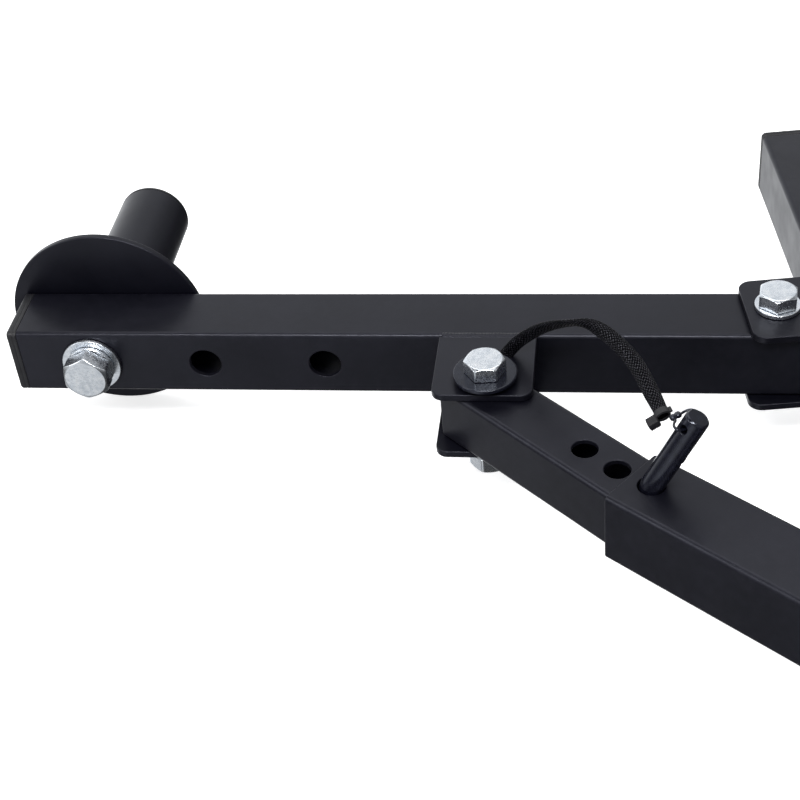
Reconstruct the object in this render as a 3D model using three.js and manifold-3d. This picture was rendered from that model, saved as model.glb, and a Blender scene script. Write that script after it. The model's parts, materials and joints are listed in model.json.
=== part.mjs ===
// A swing-out peg arm on a centre drawbar, held at its angle by a telescopic pinned brace.
// Units are millimetres, +Z is up. The origin is on the drawbar's outer side, level with the arm's
// pivot and at mid height of the square tubes. The drawbar runs along Y, with +Y to the rear, and
// the arm stands out towards -X. The arm's own group has its origin on the pivot, with the arm
// along its -X, the peg along its +Y and the brace to the front.
import * as THREE from "three";
import { mergeVertices } from "three/addons/utils/BufferGeometryUtils.js";
import Module from "manifold-3d";

const wasm = await Module();
wasm.setup();

// Square tubes
const BEAM = 50;
const BEAM_CORNER = 3.5;
const INNER = 42;
const INNER_CORNER = 3.5;
const WALL = 3;
const OUTER_WALL = 2;
const GAP = 0.3;
const ARC_SEGMENTS = 3;

// Arm
const ARM_LEFT = -518;
const ARM_RIGHT = 27;
const ARM_HOLE_DIAMETER = 22;
const PEG_X = -467;
const SPARE_HOLES_X = [-386, -302];

// Peg: a flanged round tube bolted through the arm
const FLANGE_DIAMETER = 142;
const FLANGE_THICKNESS = 5;
const PEG_DIAMETER = 53.5;
const PEG_END_Y = 160;
const PEG_CAP_THICKNESS = 3;
const PEG_CAP_CROWN = 1.5;

// Drawbar, and the line of pivots beside it
const ARM_TURN = THREE.MathUtils.degToRad(-8);
const PIVOT_TO_DRAWBAR = 36.6;
const PIVOT_X = -BEAM - PIVOT_TO_DRAWBAR;
const DRAWBAR_REAR = 228;
const DRAWBAR_FRONT = -340;
const FOOT_Y = -264.7;

// End caps of the square tubes
const CAP_THICKNESS = 7;
const CAP_SOFTENING = 2;
const CAP_WALL = 2.5;
const CAP_PLAY = 0.8;
const PLUG_LENGTH = 15;

// Flat plates and their welds. A bracket plate's left and right ends are measured from its pivot,
// and a clevis plate stands its root gap off the arm, where the bead fills the groove
const PLATE = 5;
const BRACKET_WIDTH = 65;
const BRACKET_LEFT = -21;
const BRACKET_RIGHT = 78;
const BRACKET_CORNER = 9;
const CLEVIS_LEFT = -221.5;
const CLEVIS_RIGHT = -156.7;
const CLEVIS_ROOT = 3;
const CLEVIS_DEPTH = 62;
const CLEVIS_CORNER = 8;
const WELD = 4;
const WELD_FULLNESS = 0.62;

// Brace: an inner tube pivoted in the clevis and an outer tube pinned to it
const BRACE_PIVOT = new THREE.Vector2(-187.2, -74);
const BRACE_TURN = THREE.MathUtils.degToRad(-42.8);
const INNER_TAIL = -22;
const INNER_END = 160;
const PIN_HOLES = [88, 115, 142];
const OUTER_SLACK_TURN = THREE.MathUtils.degToRad(5.4);
const OUTER_MOUTH = -15;
const OUTER_END = 136.5;
const PIN_HOLE_DIAMETER = 16.5;

// Bent locking pin
const PIN_DIAMETER = 14.5;
const PIN_BOTTOM = -31;
const PIN_BEND_START = 21;
const PIN_BEND_RADIUS = 16;
const PIN_BEND = THREE.MathUtils.degToRad(25);
const PIN_HANDLE = 56.5;
const PIN_LEAN = THREE.MathUtils.degToRad(-5);
const CROSS_HOLE_BACK = 8.5;
const CROSS_HOLE_TURN = THREE.MathUtils.degToRad(-45);
const CROSS_HOLE_DIAMETER = 5.5;
const WIRE_DIAMETER = 1.6;

// Lanyard from the eye under the clevis bolt to the pin's handle
const CORD_DIAMETER = 3.2;
const LANYARD_POINTS = [
  [-180, -59, 28],
  [-175, -50, 29],
  [-168, -50, 38],
  [-148, -58, 57],
  [-120, -77, 72],
  [-96, -108, 72],
  [-83, -140, 69],
  [-77, -157, 67],
];

// Cable tie: its band's length and wall, the play round the cord, and the head beside the band
const TIE_BAND_LENGTH = 4.8;
const TIE_WALL = 1.4;
const TIE_PLAY = 0.8;
const TIE_HEAD = { across: 7, deep: 6, tall: 5, aside: 6.2 };
const TIE_FROM_END = 3.5;

// The lanyard's eye and the wide washer over it, under the head of the clevis bolt
const EYE = { outer: 30, height: 3.4 };
const WIDE_WASHER = { outer: 41.4, height: 3 };

// Heights of the stack on the clevis: plate, lanyard eye, wide washer, bolt head
const CLEVIS_TOP = INNER / 2 + GAP + PLATE;
const WIDE_WASHER_LOW = CLEVIS_TOP + EYE.height + 2 * GAP;
const CLEVIS_HEAD = WIDE_WASHER_LOW + WIDE_WASHER.height + GAP;

// Face of the clevis plates' weld beads: how far it reaches over the groove and rises over the
// plate, and the angle at which it leaves the arm's corner
const CLEVIS_BEAD = { reach: 2, rise: 1.6, end: THREE.MathUtils.degToRad(101) };

// Fasteners: width across the head's flats and head height, washer and nut sizes
const M16 = { d: 16, flats: 24, head: 10, nut: 13, washer: 30, washerHeight: 3, hole: 17 };
const M20 = { d: 20, flats: 30, head: 12.5, nut: 16, washer: 41.5, washerHeight: 3, hole: 22 };
const SPRING_WASHER = { outer: 33, inner: 21, height: 3.2, slit: 3 };
const SLIT_SLANT = THREE.MathUtils.degToRad(25);
const HEX_CHAMFER_RADIUS = 0.46;
const THREAD_PLAY = 0.6;
const THREAD_BEYOND_NUT = 4;
const BUSH_WALL = 3.5;
const BUSH_CLEARANCE = 0.6;

// Turns of the hexagons about their bolts' axes
const CLEVIS_BOLT_TURN = THREE.MathUtils.degToRad(36);
const PEG_BOLT_TURN = THREE.MathUtils.degToRad(5);
const ARM_BOLT_TURN = THREE.MathUtils.degToRad(-15);
const FOOT_BOLT_TURN = THREE.MathUtils.degToRad(20);

// How far a cutting tool stands out of what it cuts, and a joined piece reaches into its neighbour
const OVERSHOOT = 1;

// Materials
const BLACK_COAT = { color: 0x26262b, roughness: 0.45, metalness: 0.3 };
const BLACK_PLASTIC = { color: 0x1b1b1d, roughness: 0.6, metalness: 0 };
const ZINC = { color: 0xc9ced4, roughness: 0.3, metalness: 1 };
const BLACK_OXIDE = { color: 0x202024, roughness: 0.3, metalness: 0.8 };
const BRAID = { color: 0x17171a, roughness: 0.9, metalness: 0 };

// A closed geometry as a manifold-3d solid.
function solidOf(geometry) {
  const bare = geometry.index ? geometry.toNonIndexed() : geometry.clone();
  bare.deleteAttribute("normal");
  bare.deleteAttribute("uv");
  const merged = mergeVertices(bare, 1e-4);
  return new wasm.Manifold(
    new wasm.Mesh({
      numProp: 3,
      vertProperties: merged.attributes.position.array,
      triVerts: new Uint32Array(merged.index.array),
    }),
  );
}

// A manifold-3d solid as a three.js geometry.
function geometryOf(solid) {
  const { vertProperties, triVerts } = solid.getMesh();
  const geometry = new THREE.BufferGeometry();
  geometry.setAttribute("position", new THREE.BufferAttribute(vertProperties, 3));
  geometry.setIndex(new THREE.BufferAttribute(triVerts, 1));
  geometry.computeVertexNormals();
  return geometry;
}

function cut(geometry, tools) {
  return geometryOf(tools.reduce((solid, tool) => solid.subtract(solidOf(tool)), solidOf(geometry)));
}

function join(geometries) {
  return geometryOf(geometries.map(solidOf).reduce((a, b) => a.add(b)));
}

function piece(name, geometry, look) {
  const mesh = new THREE.Mesh(geometry, new THREE.MeshStandardMaterial(look));
  mesh.name = name;
  return mesh;
}

function place(object, x, y, z) {
  object.position.set(x, y, z);
  return object;
}

// Outline of a rectangle with its own radius at each corner, from the low corner anticlockwise.
function roundedRectangle(x0, y0, x1, y1, radii) {
  const shape = new THREE.Shape();
  const corners = [
    [x0, y0, 1, 1, Math.PI],
    [x1, y0, -1, 1, -Math.PI / 2],
    [x1, y1, -1, -1, 0],
    [x0, y1, 1, -1, Math.PI / 2],
  ];
  corners.forEach(([x, y, inX, inY, start], i) => {
    const r = radii[i];
    if (r > 0) shape.absarc(x + inX * r, y + inY * r, r, start, start + Math.PI / 2, false);
    else if (i === 0) shape.moveTo(x, y);
    else shape.lineTo(x, y);
  });
  shape.closePath();
  return shape;
}

function square(side, radius) {
  const h = side / 2;
  return roundedRectangle(-h, -h, h, h, [radius, radius, radius, radius]);
}

// A prism of a shape, from z = low to z = high.
function prism(shape, low, high) {
  const geometry = new THREE.ExtrudeGeometry(shape, {
    depth: high - low,
    bevelEnabled: false,
    curveSegments: ARC_SEGMENTS,
  });
  return geometry.translate(0, 0, low);
}

// A square tube along X from x = low to x = high, centred on the axis.
function squareTube(side, corner, wall, low, high) {
  const section = square(side, corner);
  section.holes.push(square(side - 2 * wall, corner - wall));
  return prism(section, low, high).rotateX(Math.PI / 2).rotateZ(Math.PI / 2);
}

// A cylinder along Z from z = low to z = high.
function rod(diameter, low, high, sides = 24) {
  const geometry = new THREE.CylinderGeometry(diameter / 2, diameter / 2, high - low, sides);
  return geometry.rotateX(Math.PI / 2).translate(0, 0, (low + high) / 2);
}

// A round ring along Z with a square edge.
function ring(outer, inner, low, high, sides = 32) {
  const points = [
    [inner / 2, low],
    [outer / 2, low],
    [outer / 2, high],
    [inner / 2, high],
    [inner / 2, low],
  ];
  const profile = points.map(([r, z]) => new THREE.Vector2(r, z));
  return new THREE.LatheGeometry(profile, sides).rotateX(Math.PI / 2);
}

// A hexagonal prism along Z with the corners of its high end turned off at 45 degrees.
function hexagon(flats, low, high) {
  const across = flats / Math.cos(Math.PI / 6);
  const prismPart = rod(across, low, high, 6);
  const height = high - low;
  const top = flats * HEX_CHAMFER_RADIUS;
  const turned = new THREE.CylinderGeometry(top, top + height, height, 24);
  turned.rotateX(Math.PI / 2).translate(0, 0, (low + high) / 2);
  return geometryOf(solidOf(prismPart).intersect(solidOf(turned)));
}

// A hex bolt along Z: the head stands on z = 0 and the shank goes down.
function hexBolt(size, length) {
  return join([hexagon(size.flats, 0, size.head), rod(size.d, -length, OVERSHOOT)]);
}

// A nut along Z with its turned face at the high end.
function nut(size) {
  const bore = rod(size.d + THREAD_PLAY, -OVERSHOOT, size.nut + OVERSHOOT);
  return cut(hexagon(size.flats, 0, size.nut), [bore]);
}

// A spring lock washer: a ring split by a narrow slanting gap.
function springWasher({ outer, inner, height, slit }) {
  const gap = new THREE.BoxGeometry(slit, outer, height * 3);
  gap.rotateY(SLIT_SLANT).translate(0, outer / 2, height / 2);
  return cut(ring(outer, inner, 0, height), [gap]);
}

// A plastic tube end cap along Z: a cushioned flange on top of a hollow plug.
function squareCap(name) {
  const flange = new THREE.ExtrudeGeometry(square(BEAM, BEAM_CORNER), {
    depth: CAP_THICKNESS - 2 * CAP_SOFTENING,
    bevelThickness: CAP_SOFTENING,
    bevelSize: CAP_SOFTENING,
    bevelOffset: -CAP_SOFTENING,
    bevelSegments: 2,
    curveSegments: ARC_SEGMENTS,
  });
  flange.translate(0, 0, CAP_SOFTENING);
  const plugSide = BEAM - 2 * WALL - 2 * CAP_PLAY;
  const plug = square(plugSide, 0);
  plug.holes.push(square(plugSide - 2 * CAP_WALL, 0));
  return piece(name, join([flange, prism(plug, -PLUG_LENGTH, OVERSHOOT)]), BLACK_PLASTIC);
}

// ---- Arm -------------------------------------------------------------------------------------

function armTube() {
  const bushHole = rod(M16.d + BUSH_CLEARANCE + 2 * BUSH_WALL + 2 * GAP, -BEAM, BEAM);
  const boltHoles = [PEG_X, ...SPARE_HOLES_X].map((x) =>
    rod(ARM_HOLE_DIAMETER, -BEAM, BEAM).rotateX(Math.PI / 2).translate(x, 0, 0),
  );
  const tube = squareTube(BEAM, BEAM_CORNER, WALL, ARM_LEFT, ARM_RIGHT);
  return piece("arm_tube", cut(tube, [bushHole, ...boltHoles]), BLACK_COAT);
}

function bush(name, height) {
  const inner = M16.d + BUSH_CLEARANCE;
  return piece(name, ring(inner + 2 * BUSH_WALL, inner, -height / 2, height / 2), ZINC);
}

// A bar through a plate that lies from z = low up, for its bolt's hole.
function plateHole(low) {
  return rod(M16.hole, low - OVERSHOOT, low + PLATE + OVERSHOOT);
}

function clevisPlate(name, low) {
  const back = -BEAM / 2 - CLEVIS_ROOT;
  const corners = [CLEVIS_CORNER, CLEVIS_CORNER, 0, 0];
  const outline = roundedRectangle(CLEVIS_LEFT, back - CLEVIS_DEPTH, CLEVIS_RIGHT, back, corners);
  const hole = plateHole(low).translate(BRACE_PIVOT.x, BRACE_PIVOT.y, 0);
  return piece(name, cut(prism(outline, low, low + PLATE), [hole]), BLACK_COAT);
}

// A weld bead in the groove between a clevis plate's back edge and the arm's rounded corner, its
// section drawn in the (Y, Z) plane and drawn out along X. Its full face stands above the plate.
function clevisWeld(name) {
  const bead = new THREE.Shape();
  const centre = BEAM / 2 - BEAM_CORNER;
  const plateEdge = -BEAM / 2 - CLEVIS_ROOT + GAP;
  const faceY = plateEdge + CLEVIS_BEAD.reach;
  const faceZ = CLEVIS_TOP + CLEVIS_BEAD.rise;
  bead.moveTo(plateEdge, centre);
  bead.absarc(-centre, centre, BEAM_CORNER + GAP, Math.PI, CLEVIS_BEAD.end, true);
  bead.quadraticCurveTo(faceY, faceZ, plateEdge, CLEVIS_TOP);
  bead.closePath();
  const length = CLEVIS_RIGHT - CLEVIS_LEFT - WELD;
  const body = prism(bead, -length / 2, length / 2).rotateX(Math.PI / 2).rotateZ(Math.PI / 2);
  return place(piece(name, body, BLACK_COAT), (CLEVIS_LEFT + CLEVIS_RIGHT) / 2, 0, 0);
}

// The lower bead is the upper one turned over about the plates' middle line.
function clevisWelds() {
  const lower = clevisWeld("clevis_lower_weld");
  lower.rotation.y = Math.PI;
  return [clevisWeld("clevis_upper_weld"), lower];
}

// Parts of a through bolt, with the head's seat at z = high and the nut's seat at z = low.
function throughBolt(prefix, high, low, turn) {
  const bolt = piece(prefix + "_bolt", hexBolt(M16, high - low + M16.nut + THREAD_BEYOND_NUT), ZINC);
  bolt.rotation.z = turn;
  const nutPiece = piece(prefix + "_nut", nut(M16).rotateX(Math.PI), ZINC);
  nutPiece.rotation.z = turn / 2;
  return [place(bolt, 0, 0, high), place(nutPiece, 0, 0, low)];
}

function washer(name, size, low) {
  return piece(name, ring(size.washer, size.hole, low, low + size.washerHeight), ZINC);
}

function clevisStack() {
  const group = place(new THREE.Group(), BRACE_PIVOT.x, BRACE_PIVOT.y, 0);
  const wide = ring(WIDE_WASHER.outer, M16.hole, 0, WIDE_WASHER.height);
  const lowerSeat = -CLEVIS_TOP - GAP - M16.washerHeight;
  group.add(
    place(piece("clevis_wide_washer", wide, BLACK_OXIDE), 0, 0, WIDE_WASHER_LOW),
    washer("clevis_lower_washer", M16, lowerSeat),
    ...throughBolt("clevis", CLEVIS_HEAD, lowerSeat - GAP, CLEVIS_BOLT_TURN),
  );
  return group;
}

// ---- Peg -------------------------------------------------------------------------------------

// Everything on the peg is turned about the Y axis: the group's own +Z points to the rear.
function pegGroup() {
  const group = place(new THREE.Group(), PEG_X, 0, 0);
  group.rotation.x = -Math.PI / 2;
  const flange = BEAM / 2 + GAP;
  const tube = flange + FLANGE_THICKNESS + GAP;
  const front = -BEAM / 2 - GAP;
  const bore = PEG_DIAMETER - 2 * WALL;
  const head = front - M20.washerHeight - SPRING_WASHER.height - 2 * GAP;
  const boltLength = tube + M20.nut + THREAD_BEYOND_NUT - head;
  const bolt = piece("peg_bolt", hexBolt(M20, boltLength).rotateX(Math.PI), ZINC);
  bolt.rotation.z = PEG_BOLT_TURN;
  const disc = ring(FLANGE_DIAMETER, M20.hole, flange, flange + FLANGE_THICKNESS, 80);
  group.add(
    piece("peg_flange", disc, BLACK_COAT),
    piece("peg_tube", ring(PEG_DIAMETER, bore, tube, PEG_END_Y, 48), BLACK_COAT),
    place(piece("peg_weld", filletRing(PEG_DIAMETER + GAP, WELD), BLACK_COAT), 0, 0, tube),
    place(roundCap("peg_end_cap", bore - 2 * GAP), 0, 0, PEG_END_Y + GAP),
    place(piece("peg_nut", nut(M20), ZINC), 0, 0, tube),
    washer("peg_flat_washer", M20, front - M20.washerHeight),
    place(piece("peg_spring_washer", springWasher(SPRING_WASHER), ZINC), 0, 0, head + GAP),
    place(bolt, 0, 0, head),
  );
  return group;
}

// A weld fillet round a tube: a ring of triangular section with a full face.
function filletRing(inner, leg) {
  const r = inner / 2;
  const points = [
    [r, 0],
    [r + leg, 0],
    [r + leg * WELD_FULLNESS, leg * WELD_FULLNESS],
    [r, leg],
    [r, 0],
  ];
  const profile = points.map(([x, z]) => new THREE.Vector2(x, z));
  return new THREE.LatheGeometry(profile, 48).rotateX(Math.PI / 2);
}

// A round plastic plug along Z with a thin crowned flange.
function roundCap(name, plugDiameter) {
  const r = PEG_DIAMETER / 2;
  const points = [
    [0, 0],
    [r, 0],
    [r, PEG_CAP_THICKNESS - PEG_CAP_CROWN],
    [r - PEG_CAP_CROWN, PEG_CAP_THICKNESS],
    [0, PEG_CAP_THICKNESS],
  ];
  const flange = new THREE.LatheGeometry(points.map(([x, z]) => new THREE.Vector2(x, z)), 48);
  const plug = ring(plugDiameter, plugDiameter - 2 * CAP_WALL, -PLUG_LENGTH, OVERSHOOT, 48);
  return piece(name, join([flange.rotateX(Math.PI / 2), plug]), BLACK_PLASTIC);
}

// ---- Drawbar ---------------------------------------------------------------------------------

function drawbarGroup() {
  const group = new THREE.Group();
  const centre = -BEAM / 2;
  const tube = squareTube(BEAM, BEAM_CORNER, WALL, DRAWBAR_FRONT, DRAWBAR_REAR).rotateZ(Math.PI / 2);
  const rearCap = squareCap("drawbar_rear_cap");
  rearCap.rotation.x = -Math.PI / 2;
  const frontCap = squareCap("drawbar_front_cap");
  frontCap.rotation.x = Math.PI / 2;
  group.add(
    place(piece("drawbar_tube", tube, BLACK_COAT), centre, 0, 0),
    place(rearCap, centre, DRAWBAR_REAR + GAP, 0),
    place(frontCap, centre, DRAWBAR_FRONT - GAP, 0),
    bracket("arm_bracket", 0, ARM_BOLT_TURN),
    bracket("foot_bracket", FOOT_Y, FOOT_BOLT_TURN),
  );
  return group;
}

// Two plates welded over and under the drawbar, with the bolt that passes through both.
function bracket(prefix, y, boltTurn) {
  const group = place(new THREE.Group(), PIVOT_X, y, 0);
  const face = BEAM / 2 + GAP;
  const seat = face + PLATE + GAP;
  group.add(
    bracketPlate(prefix + "_upper_plate", face),
    bracketPlate(prefix + "_lower_plate", -face - PLATE),
    bracketWeld(prefix + "_upper_weld", face),
    bracketWeld(prefix + "_lower_weld", -face - WELD),
    washer(prefix + "_upper_washer", M16, seat),
    washer(prefix + "_lower_washer", M16, -seat - M16.washerHeight),
    ...throughBolt(prefix, seat + M16.washerHeight + GAP, -seat - M16.washerHeight - GAP, boltTurn),
  );
  return group;
}

function bracketPlate(name, low) {
  const h = BRACKET_WIDTH / 2;
  const corners = [BRACKET_CORNER, 0, 0, BRACKET_CORNER];
  const outline = roundedRectangle(BRACKET_LEFT, -h, BRACKET_RIGHT, h, corners);
  return piece(name, cut(prism(outline, low, low + PLATE), [plateHole(low)]), BLACK_COAT);
}

// A bead along the three edges of a bracket plate that lie on the drawbar.
function bracketWeld(name, low) {
  const h = BRACKET_WIDTH / 2 + GAP;
  const left = PIVOT_TO_DRAWBAR + BEAM_CORNER;
  const right = BRACKET_RIGHT + GAP;
  const bead = new THREE.Shape();
  bead.moveTo(left, -h - WELD);
  bead.lineTo(right, -h - WELD);
  bead.absarc(right, -h, WELD, -Math.PI / 2, 0, false);
  bead.lineTo(right + WELD, h);
  bead.absarc(right, h, WELD, 0, Math.PI / 2, false);
  bead.lineTo(left, h + WELD);
  bead.lineTo(left, h);
  bead.lineTo(right, h);
  bead.lineTo(right, -h);
  bead.lineTo(left, -h);
  bead.closePath();
  return piece(name, prism(bead, low, low + WELD), BLACK_COAT);
}

// ---- Brace -----------------------------------------------------------------------------------

// The brace's own +X runs along the inner tube, from its pivot towards the drawbar.
function braceGroup() {
  const group = place(new THREE.Group(), BRACE_PIVOT.x, BRACE_PIVOT.y, 0);
  group.rotation.z = BRACE_TURN;
  const bushHole = rod(M16.d + BUSH_CLEARANCE + 2 * BUSH_WALL + 2 * GAP, -BEAM, BEAM);
  const pinHoles = PIN_HOLES.map((x) => rod(PIN_HOLE_DIAMETER, -BEAM, BEAM).translate(x, 0, 0));
  const innerTube = squareTube(INNER, INNER_CORNER, WALL, INNER_TAIL, INNER_END);
  const outerTube = squareTube(BEAM, BEAM_CORNER, OUTER_WALL, OUTER_MOUTH, OUTER_END);
  const outer = piece(
    "brace_outer_tube",
    cut(outerTube, [rod(PIN_HOLE_DIAMETER, -BEAM, BEAM)]),
    BLACK_COAT,
  );
  outer.rotation.z = OUTER_SLACK_TURN;
  group.add(
    piece("brace_inner_tube", cut(innerTube, [bushHole, ...pinHoles]), BLACK_COAT),
    bush("brace_pivot_bush", INNER),
    place(outer, PIN_HOLES.at(-1), 0, 0),
  );
  return group;
}

// A washer-like eye at the lanyard's fixed end, under the wide washer.
function lanyardEye() {
  const eye = piece("lanyard_eye", ring(EYE.outer, M16.hole, 0, EYE.height), BRAID);
  return place(eye, BRACE_PIVOT.x, BRACE_PIVOT.y, CLEVIS_TOP + GAP);
}

function lanyardCord() {
  const path = new THREE.CatmullRomCurve3(LANYARD_POINTS.map((p) => new THREE.Vector3(...p)));
  return piece("lanyard_cord", drawnAlong(path, CORD_DIAMETER, 24, 8), BRAID);
}

// A round bar drawn along a path.
function drawnAlong(path, diameter, steps, sides) {
  const section = new THREE.Shape();
  section.absarc(0, 0, diameter / 2, 0, 2 * Math.PI, false);
  return new THREE.ExtrudeGeometry(section, {
    extrudePath: path,
    steps,
    curveSegments: sides / 2,
    bevelEnabled: false,
  });
}

// ---- Locking pin -----------------------------------------------------------------------------

// Centre line of the bent pin in its own frame: straight up +Z, a bend towards +X, and a handle.
class PinAxis extends THREE.Curve {
  getPoint(t, target = new THREE.Vector3()) {
    const shank = PIN_BEND_START - PIN_BOTTOM;
    const arc = PIN_BEND_RADIUS * PIN_BEND;
    const s = t * (shank + arc + PIN_HANDLE);
    if (s <= shank) return target.set(0, 0, PIN_BOTTOM + s);
    const angle = Math.min((s - shank) / PIN_BEND_RADIUS, PIN_BEND);
    const beyond = Math.max(s - shank - arc, 0);
    return target.set(
      PIN_BEND_RADIUS * (1 - Math.cos(angle)) + beyond * Math.sin(angle),
      0,
      PIN_BEND_START + PIN_BEND_RADIUS * Math.sin(angle) + beyond * Math.cos(angle),
    );
  }
}

// A point on the handle's centre line, that far back from its free end.
function handlePoint(back) {
  const along = PIN_HANDLE - back;
  return new THREE.Vector3(
    PIN_BEND_RADIUS * (1 - Math.cos(PIN_BEND)) + along * Math.sin(PIN_BEND),
    0,
    PIN_BEND_START + PIN_BEND_RADIUS * Math.sin(PIN_BEND) + along * Math.cos(PIN_BEND),
  );
}

// A bar square through the handle, along the cross hole.
function crossHoleTool() {
  const at = handlePoint(CROSS_HOLE_BACK);
  const radius = CROSS_HOLE_DIAMETER / 2;
  const tool = new THREE.CylinderGeometry(radius, radius, 2 * PIN_DIAMETER, 16);
  return tool.rotateZ(CROSS_HOLE_TURN).rotateY(PIN_BEND).translate(at.x, at.y, at.z);
}

// The wire's loop, in the handle's own axes: through the cross hole, along its local Y, and back
// round the handle to the cable tie. Its middle three points lie inside the hole.
function wireLoop() {
  const at = handlePoint(CROSS_HOLE_BACK);
  const outline = [
    [-12.8, 0.2, -6.2],
    [-9.8, -2.4, -3.8],
    [-7, -7.2, -2],
    [-4, -10.4, -0.8],
    [-0.8, -10.8, 0],
    [0, -7, 0],
    [0, 0, 0],
    [0, 7, 0],
    [-0.8, 10.8, 0.4],
    [-4.5, 11.4, 1.6],
    [-8.6, 9.6, 2.4],
    [-11.4, 6, 1],
    [-12.8, 2.8, -4],
  ];
  const points = outline.map(([x, y, z]) => new THREE.Vector3(x, y, z));
  const loop = drawnAlong(new THREE.CatmullRomCurve3(points), WIRE_DIAMETER, 28, 6);
  loop.rotateZ(CROSS_HOLE_TURN).rotateY(PIN_BEND).translate(at.x, at.y, at.z);
  return piece("pin_wire_loop", loop, BLACK_OXIDE);
}

function pinGroup() {
  const group = new THREE.Group();
  const [pinX, pinY] = alongBrace(PIN_HOLES.at(-1));
  place(group, pinX, pinY, 0);
  group.rotation.z = PIN_LEAN;
  const bar = drawnAlong(new PinAxis(), PIN_DIAMETER, 24, 20);
  group.add(piece("locking_pin", cut(bar, [crossHoleTool()]), BLACK_OXIDE), wireLoop());
  return group;
}

// Where a point of the brace's own X axis lies in the arm's group.
function alongBrace(distance) {
  return [
    BRACE_PIVOT.x + distance * Math.cos(BRACE_TURN),
    BRACE_PIVOT.y + distance * Math.sin(BRACE_TURN),
  ];
}

// A nylon tie closed round the lanyard's end: a band with a square head at its side.
function cableTie() {
  const end = new THREE.Vector3(...LANYARD_POINTS.at(-1));
  const before = new THREE.Vector3(...LANYARD_POINTS.at(-2));
  const along = end.clone().sub(before).normalize();
  const bore = CORD_DIAMETER + 2 * TIE_PLAY;
  const band = ring(bore + 2 * TIE_WALL, bore, -TIE_BAND_LENGTH / 2, TIE_BAND_LENGTH / 2, 24);
  const head = new THREE.BoxGeometry(TIE_HEAD.across, TIE_HEAD.deep, TIE_HEAD.tall);
  head.translate(-TIE_HEAD.aside, 0, 0);
  const tie = piece("cable_tie", join([band, head]), BLACK_PLASTIC);
  tie.quaternion.setFromUnitVectors(new THREE.Vector3(0, 0, 1), along);
  tie.position.copy(end).addScaledVector(along, -TIE_FROM_END);
  return tie;
}

// ---- The whole part --------------------------------------------------------------------------

// The arm with its peg and clevis, and everything that swings with it.
function armGroup() {
  const group = place(new THREE.Group(), PIVOT_X, 0, 0);
  group.rotation.z = ARM_TURN;
  const cap = place(squareCap("arm_end_cap"), ARM_LEFT - GAP, 0, 0);
  cap.rotation.y = -Math.PI / 2;
  group.add(
    armTube(),
    cap,
    bush("arm_pivot_bush", BEAM),
    clevisPlate("clevis_upper_plate", INNER / 2 + GAP),
    clevisPlate("clevis_lower_plate", -INNER / 2 - GAP - PLATE),
    ...clevisWelds(),
    clevisStack(),
    pegGroup(),
    braceGroup(),
    lanyardEye(),
    lanyardCord(),
    pinGroup(),
    cableTie(),
  );
  return group;
}

const part = new THREE.Group();
part.add(drawbarGroup(), armGroup());

export default part;
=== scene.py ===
"""Looks of a swing-out peg arm on its drawbar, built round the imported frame.

Shapes are written in millimetres in the axes of the group they belong to (drawbar, arm, peg, clevis,
brace, pin) and are placed by that group's matrix. Every place and size comes from the frame's nodes and
joints or from the named values below.
"""
import json
import math

import bmesh
import bpy
import numpy as np
from mathutils import Matrix, Vector


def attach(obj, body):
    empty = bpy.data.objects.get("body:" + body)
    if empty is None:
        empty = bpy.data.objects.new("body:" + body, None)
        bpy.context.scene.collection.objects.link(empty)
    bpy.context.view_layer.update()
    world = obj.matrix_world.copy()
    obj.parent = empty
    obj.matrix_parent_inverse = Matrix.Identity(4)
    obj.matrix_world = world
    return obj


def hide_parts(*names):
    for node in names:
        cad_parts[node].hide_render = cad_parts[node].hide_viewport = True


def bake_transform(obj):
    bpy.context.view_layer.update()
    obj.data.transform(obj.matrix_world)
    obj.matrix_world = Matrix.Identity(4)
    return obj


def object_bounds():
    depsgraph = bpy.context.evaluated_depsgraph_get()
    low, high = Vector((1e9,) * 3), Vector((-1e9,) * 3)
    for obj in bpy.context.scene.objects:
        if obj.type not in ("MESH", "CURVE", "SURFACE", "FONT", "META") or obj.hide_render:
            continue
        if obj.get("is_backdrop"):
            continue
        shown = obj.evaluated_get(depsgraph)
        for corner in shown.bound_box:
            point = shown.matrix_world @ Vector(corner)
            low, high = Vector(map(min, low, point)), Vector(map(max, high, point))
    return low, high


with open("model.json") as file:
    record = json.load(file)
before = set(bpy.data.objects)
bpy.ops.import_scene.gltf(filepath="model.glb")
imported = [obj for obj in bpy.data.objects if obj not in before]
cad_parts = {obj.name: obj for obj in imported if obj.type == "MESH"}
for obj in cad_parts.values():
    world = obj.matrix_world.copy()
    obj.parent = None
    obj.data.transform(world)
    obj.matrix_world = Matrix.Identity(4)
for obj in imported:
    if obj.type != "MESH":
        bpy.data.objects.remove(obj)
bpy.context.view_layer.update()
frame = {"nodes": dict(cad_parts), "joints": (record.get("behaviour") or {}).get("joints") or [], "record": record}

MM = 0.001
TAU = 2 * math.pi

# Turns of the groups, as in the frame
ARM_TURN = math.radians(-8)
BRACE_TURN = math.radians(-42.8)
OUTER_TURN = math.radians(5.4)
PIN_LEAN = math.radians(-5)
CLEVIS_BOLT_TURN = math.radians(36)
PEG_BOLT_TURN = math.radians(5)
ARM_BOLT_TURN = math.radians(-15)
FOOT_BOLT_TURN = math.radians(20)

# Square tubes and plates
WALL = 3
OUTER_WALL = 2
BEAM_CORNER = 3.5
INNER_CORNER = 3.5
TUBE_RIM = 0.6
PLATE_RIM = 0.8
CLEVIS_CORNER = 8
BRACKET_CORNER = 9
CUT_CORNER = 1.2
BOLT_HOLE = 8.5
BUSH_HOLE = 12.1
ARM_HOLE = 11
PIN_HOLE = 8.25
SPARE_HOLES_X = (-386, -302)
PIN_HOLES_X = (88, 115, 142)
HOLE_FLARE = 0.7

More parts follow.
